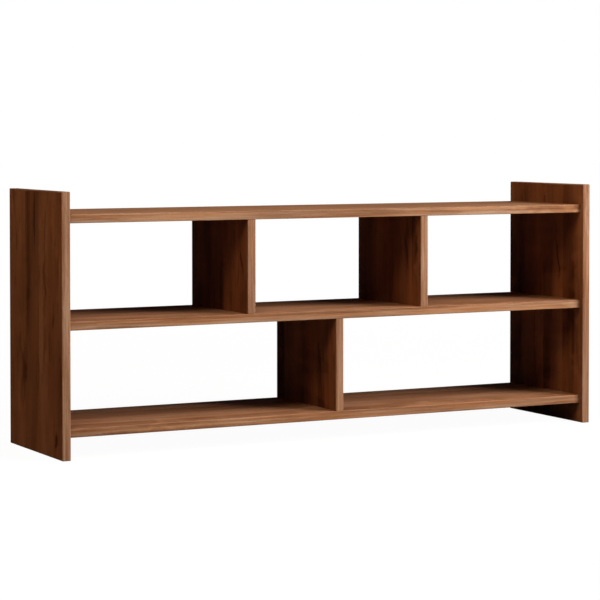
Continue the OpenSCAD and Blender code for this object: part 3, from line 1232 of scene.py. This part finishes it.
@dataclass
class JointFittings:
    """The dowels, bolts, cams and caps in both ends of one board.

    Args:
        board: the start of the four nodes' names.
        run: the axis that the board's length follows, from one joint to the other.
        cam_face: the axis that the board's face looks along.
        cams_low: whether the cams open on the low side of that axis.
    """

    board: str
    run: Axis
    cam_face: Axis
    cams_low: bool

    def placements(self, node: str, margin: float,
                   pointing: Callable[[bool], tuple[int, float]],
                   level: Callable[[np.ndarray, np.ndarray], float],
                   ) -> list[tuple[np.ndarray, np.ndarray]]:
        """Finds where the node's four fittings stand, from its box.

        Args:
            node: the CAD node.
            margin: the distance from the box's sides to a fitting's own axis.
            pointing: gives the axis and sign of a fitting, for the low or the high end.
            level: gives the place of a fitting's origin along its own axis.

        Returns:
            A turn matrix and an origin for each fitting.
        """
        low, high = (np.array(corner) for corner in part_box(node))
        found = []
        for high_end in (False, True):
            for back in (False, True):
                axis, sign = pointing(high_end)
                origin = (low + high) / 2
                origin[Axis.Y.value] = high[1] - margin if back else low[1] + margin
                if axis != self.run.value:
                    run = self.run.value
                    origin[run] = high[run] - margin if high_end else low[run] + margin
                origin[axis] = level(low, high) if axis != self.run.value else (
                    high[axis] if high_end else low[axis])
                turn = np.zeros((3, 3))
                turn[axis, 2] = sign
                turn[Axis.Y.value, 1] = 1.0
                turn[({0, 2} - {axis}).pop(), 0] = 1.0
                found.append((turn, origin))
        return found

    def along_run(self, high_end: bool) -> tuple[int, float]:
        """Fittings along the board point inward from each end."""
        return self.run.value, -1.0 if high_end else 1.0

    def out_of_face(self, _high_end: bool) -> tuple[int, float]:
        """Caps point out of the board's face."""
        return self.cam_face.value, -1.0 if self.cams_low else 1.0

    def build(self, finishes: dict[str, bpy.types.Material]) -> None:
        """Makes the board's dowels, bolts and caps, and dresses its cams.

        Args:
            finishes: the fittings' materials by name.
        """
        dowel, bolt, cap = Dowel(), CamBolt(), CoverCap()
        face = self.cam_face.value

        def cap_level(low: np.ndarray, high: np.ndarray) -> float:
            return low[face] + cap.height if self.cams_low else high[face] - cap.height

        for kind, shape, margin, pointing, slot in (
                ("dowels", dowel, dowel.radius, self.along_run, "beech_dowel"),
                ("bolts", bolt, bolt.collar, self.along_run, "bolt_steel"),
                ("caps", cap, cap.radius, self.out_of_face, "cap_brown")):
            node = f"{self.board}_{kind}"
            skin = shape.skin()
            spots = self.placements(node, margin, pointing, cap_level)
            skins = [skin.moved(turn, origin) for turn, origin in spots]
            key = f"{kind}_{self.run.name}" if kind == "dowels" else kind
            stand_for(make_piece("turned_" + node, skins, finishes[key]), node)
        dress(f"{self.board}_cams", finishes["cams"])


# ---------------------------------------------------------------------------------------------
# Stage, light and camera
# ---------------------------------------------------------------------------------------------


@dataclass(frozen=True)
class SoftBox:
    """A soft light. Azimuth 0 is in front of the hutch, and 90 is on its right.

    Its size is its width, and its height too where height isn't given.
    """

    name: str
    azimuth: float
    elevation: float
    distance: float
    size: float
    power: float
    tint: Colour = (1.0, 1.0, 1.0)
    glossy: bool = False
    diffuse: bool = True
    height: Optional[float] = None

    def build(self, target: Vector) -> None:
        """Hangs the light and aims it at target."""
        turn, lift = math.radians(self.azimuth), math.radians(self.elevation)
        way = Vector((math.sin(turn) * math.cos(lift), -math.cos(turn) * math.cos(lift),
                      math.sin(lift)))
        data = bpy.data.lights.new(self.name, "AREA")
        data.shape = "RECTANGLE"
        data.size = self.size
        data.size_y = self.height or self.size
        data.energy = self.power
        data.color = self.tint
        light = bpy.data.objects.new(self.name, data)
        bpy.context.scene.collection.objects.link(light)
        light.location = target + way * self.distance
        light.rotation_euler = way.to_track_quat("Z", "Y").to_euler()
        light.visible_camera = False
        light.visible_glossy = self.glossy
        light.visible_diffuse = self.diffuse
        LOG.info("light %s at azimuth %.0f, elevation %.0f", self.name, self.azimuth, self.elevation)


@dataclass(frozen=True)
class Studio:
    """A pale floor and a white surround, with soft boxes round the hutch."""

    floor_size: float = 60.0
    floor_grey: float = 0.25
    seen_grey: float = 0.05
    glow_near: float = 0.965
    glow_far: float = 1.0
    near: float = 0.9
    far: float = 3.2
    surround: float = 1.0
    ambient: float = 0.012
    boxes: Sequence[SoftBox] = (
        SoftBox("key_front_right", 48.0, 24.0, 3.6, 2.0, 190.0),
        SoftBox("fill_front_left", -45.0, 49.0, 3.6, 1.6, 60.0, tint=(1.0, 0.87, 0.72)),
        SoftBox("graze_left", -78.0, 12.0, 3.6, 1.2, 9.0, tint=(1.0, 0.87, 0.72)),
        SoftBox("back_right", 160.0, -2.0, 4.0, 1.4, 34.0, height=0.22),
        SoftBox("sheen", 35.0, 25.0, 4.5, 3.6, 14.0, glossy=True, diffuse=False),
    )

    def floor(self) -> None:
        """Lays the floor. Seen directly it is lifted towards white, and far from the hutch it is
        white whatever light falls on it."""
        half = self.floor_size / 2
        corners = np.array([[-1, -1, 0], [1, -1, 0], [1, 1, 0], [-1, 1, 0]]) * half
        mesh = bpy.data.meshes.new("floor")
        mesh.from_pydata(corners.tolist(), [], [(0, 1, 2, 3)])
        material, g, shader = new_material("pale_floor")
        shader.inputs["Roughness"].default_value = 0.9
        shader.inputs["Specular IOR Level"].default_value = 0.1
        shader.inputs["Emission Color"].default_value = (1.0, 1.0, 1.0, 1.0)
        seen = g.node("LightPath").outputs["Is Camera Ray"]
        away = g.node("VectorMath", operation="LENGTH")
        g.feed(away.inputs[0], own_point(g))
        glow = g.remap(away.outputs["Value"], self.near, self.far, self.glow_near, self.glow_far,
                       smooth=True)
        g.feed(shader.inputs["Emission Strength"], g.math("MULTIPLY", seen, glow))
        shade = g.remap(away.outputs["Value"], self.near, self.far, self.seen_grey, 0.0, smooth=True)
        grey = g.remap(seen, 0.0, 1.0, self.floor_grey, shade)
        cloud = g.remap(g.noise(own_point(g), (1.3, 1.3, 1.3), 2.0), 0.3, 0.7, 0.985, 1.0)
        g.feed(shader.inputs["Base Color"], g.math("MULTIPLY", grey, cloud))
        mesh.materials.append(material)
        floor = bpy.data.objects.new("floor", mesh)
        floor.visible_glossy = False
        bpy.context.scene.collection.objects.link(floor)

    def surroundings(self) -> None:
        """Sets a white surround for the camera, and a dim one for everything else."""
        world = bpy.data.worlds.new("studio")
        bpy.context.scene.world = world
        world.use_nodes = True
        g = Graph(world.node_tree)
        back = g.node("Background")
        output = g.node("OutputWorld")
        world.node_tree.links.new(back.outputs[0], output.inputs["Surface"])
        back.inputs["Color"].default_value = (1.0, 1.0, 1.0, 1.0)
        seen = g.node("LightPath").outputs["Is Camera Ray"]
        g.feed(back.inputs["Strength"], g.remap(seen, 0.0, 1.0, self.ambient, self.surround))

    def build(self, target: Vector) -> None:
        """Builds the floor, the surroundings and the lights."""
        self.floor()
        self.surroundings()
        for box in self.boxes:
            box.build(target)


@dataclass(frozen=True)
class Camera:
    """The camera: in front of the hutch and to its left, a little above it, with a long lens."""

    place: tuple[float, float, float] = (-2.127, -4.0235, 0.628)
    heading: float = 27.62
    dip: float = 1.8
    lens: float = 132.78
    shift_up: float = -0.171

    def build(self) -> None:
        """Makes the camera and gives it to the scene."""
        data = bpy.data.cameras.new("camera")
        data.lens = self.lens
        data.sensor_width = 36.0
        data.shift_y = self.shift_up
        data.dof.use_dof = False
        camera = bpy.data.objects.new("camera", data)
        camera.location = self.place
        camera.rotation_euler = (math.radians(90.0 - self.dip), 0.0, -math.radians(self.heading))
        bpy.context.scene.collection.objects.link(camera)
        bpy.context.scene.camera = camera


# ---------------------------------------------------------------------------------------------
# The hutch
# ---------------------------------------------------------------------------------------------


def build_hutch() -> None:
    """Builds every sub-assembly of the hutch in order."""
    effects = Effects(WalnutFigure(), GrainMark(), Handling(), Chipboard())
    boards = [
        side_panel("left", Wood(1.3, -0.09, marks=(
            Mark(450, 3, 130, 9, -0.5), Mark(340, -49, 105, 18, -0.42, 0.10),
            Mark(140, 68, 110, 34, -0.28, 0.08), Mark(165, -17, 120, 9, -0.22),
            Mark(262, -95, 30, 7, -0.4), Mark(34, -110, 38, 18, -0.45),
            Mark(430, -112, 260, 36, 0.16),
            # Mark(210, 120, 900, 150, -0.10) is painted shade: the back of the outer face darker.
            Mark(90, -75, 260, 40, 0.12), Mark(210, 120, 900, 150, -0.10)))),
        side_panel("right", Wood(9.1, -0.13, marks=(
            Mark(350, -47, 120, 9, -0.5, 0.14), Mark(474, 4, 26, 10, -0.45),
            # Mark(300, -135, 760, 60, 0.22) is painted light: a pale strip along the front of the inner
            # face, where the light reaches in.
            Mark(180, 45, 90, 12, -0.3), Mark(300, -135, 760, 60, 0.22),
            # Mark(250, 70, 1500, 230, -0.16) is painted shade: the back of the inner face darker, away
            # from the light.
            Mark(250, 70, 1500, 230, -0.16)),
            edge_marks=(Mark(455, 591, 130, 12, 0.22),))),
        shelf("top", Wood(24.3, 0.36, 0.27, marks=(
            # Mark(0, -128, 1400, 80, 0.10) is painted light: a pale strip along the front of the shelf
            # top, where the light falls.
            Mark(130, -95, 150, 6, -0.3), Mark(0, -128, 1400, 80, 0.10)),
            edge_marks=(Mark(520, 456, 260, 20, -0.30),))),
        shelf("middle", Wood(33.2, -0.04, 0.0, marks=(
            # Mark(540, -125, 130, 30, 0.25) is a painted highlight at the right-hand end of the shelf's
            # front.
            Mark(300, -100, 120, 7, -0.3), Mark(540, -125, 130, 30, 0.25),
            # Mark(0, -135, 1400, 90, 0.27) is painted light: a pale strip along the front of the shelf
            # top, where the light falls.
            Mark(0, -135, 1400, 90, 0.27)),
            # Mark(565, 254, 60, 12, 0.35) is a painted highlight: a pale greyish patch at the right-hand
            # end of the front edge.
            edge_marks=(Mark(565, 254, 60, 12, 0.35), Mark(-480, 247, 160, 5, -0.2)))),
        shelf("bottom", Wood(44.9, 0.06, 0.10, marks=(
            Mark(190, -75, 140, 10, -0.35), Mark(-350, -60, 120, 9, -0.25),
            # Mark(0, -135, 1400, 90, 0.28) is painted light: a pale strip along the front of the shelf
            # top, where the light falls.
            Mark(0, -135, 1400, 90, 0.28)),
            edge_marks=(Mark(-470, 51, 320, 18, 0.22), Mark(480, 46, 200, 5, -0.2)))),
        divider("upper_left", Wood(55.3, -0.17, 0.04, marks=(
            Mark(362, -105, 60, 9, -0.4, 0.25), Mark(335, -88, 70, 7, -0.35, -0.1),
            # Mark(355, 40, 700, 200, -0.08) is painted shade: the back of the left face darker, deep in
            # the bay.
            Mark(355, 40, 700, 200, -0.08)))),
        divider("upper_right", Wood(66.1, -0.17, -0.08, marks=(
            Mark(375, -72, 70, 9, -0.4, 0.2), Mark(392, -112, 60, 14, -0.3, -0.25),
            # Mark(380, -120, 150, 30, 0.25) is painted light: a pale patch at the front top of the left
            # face, where light reaches in under the top shelf.
            Mark(380, -120, 150, 30, 0.25)))),
        divider("lower", Wood(77.8, -0.22, marks=(
            # Mark(150, 70, 700, 200, -0.18) is painted shade: the back of the left face darker, deep in
            # the bay.
            Mark(150, -60, 80, 9, -0.4, 0.15), Mark(150, 70, 700, 200, -0.18)))),
    ]
    for board in boards:
        board.build(effects)
    plated_steel = Metal((0.48, 0.48, 0.50), (0.66, 0.67, 0.69), 0.28, 1800.0, 0.01 * MM)
    cast_zinc = Metal((0.30, 0.30, 0.31), (0.46, 0.46, 0.47), 0.5, 900.0, 0.03 * MM)
    brown_plastic = MouldedPlastic((0.115, 0.048, 0.024), (0.19, 0.090, 0.050))
    finishes = {
        "dowels_X": Beech(Axis.X).material("beech_along_x", effects),
        "dowels_Z": Beech(Axis.Z).material("beech_along_z", effects),
        "bolts": plated_steel.material("plated_steel", effects),
        "cams": cast_zinc.material("cast_zinc", effects),
        "caps": brown_plastic.material("cap_plastic", effects),
    }
    for name in ("top_shelf", "middle_shelf", "bottom_shelf"):
        JointFittings(name, Axis.X, Axis.Z, True).build(finishes)
    for name in ("upper_left_divider", "upper_right_divider", "lower_divider"):
        JointFittings(name, Axis.Z, Axis.X, False).build(finishes)


def main() -> None:
    logging.basicConfig(level=logging.INFO, format="%(name)s: %(message)s")
    low, high = CAD_BOX
    Camera().build()
    Studio().build((low + high) / 2)
    build_hutch()
    bpy.context.scene.view_settings.view_transform = "Standard"
    bpy.context.view_layer.update()


if __name__ == "__main__":
    main()
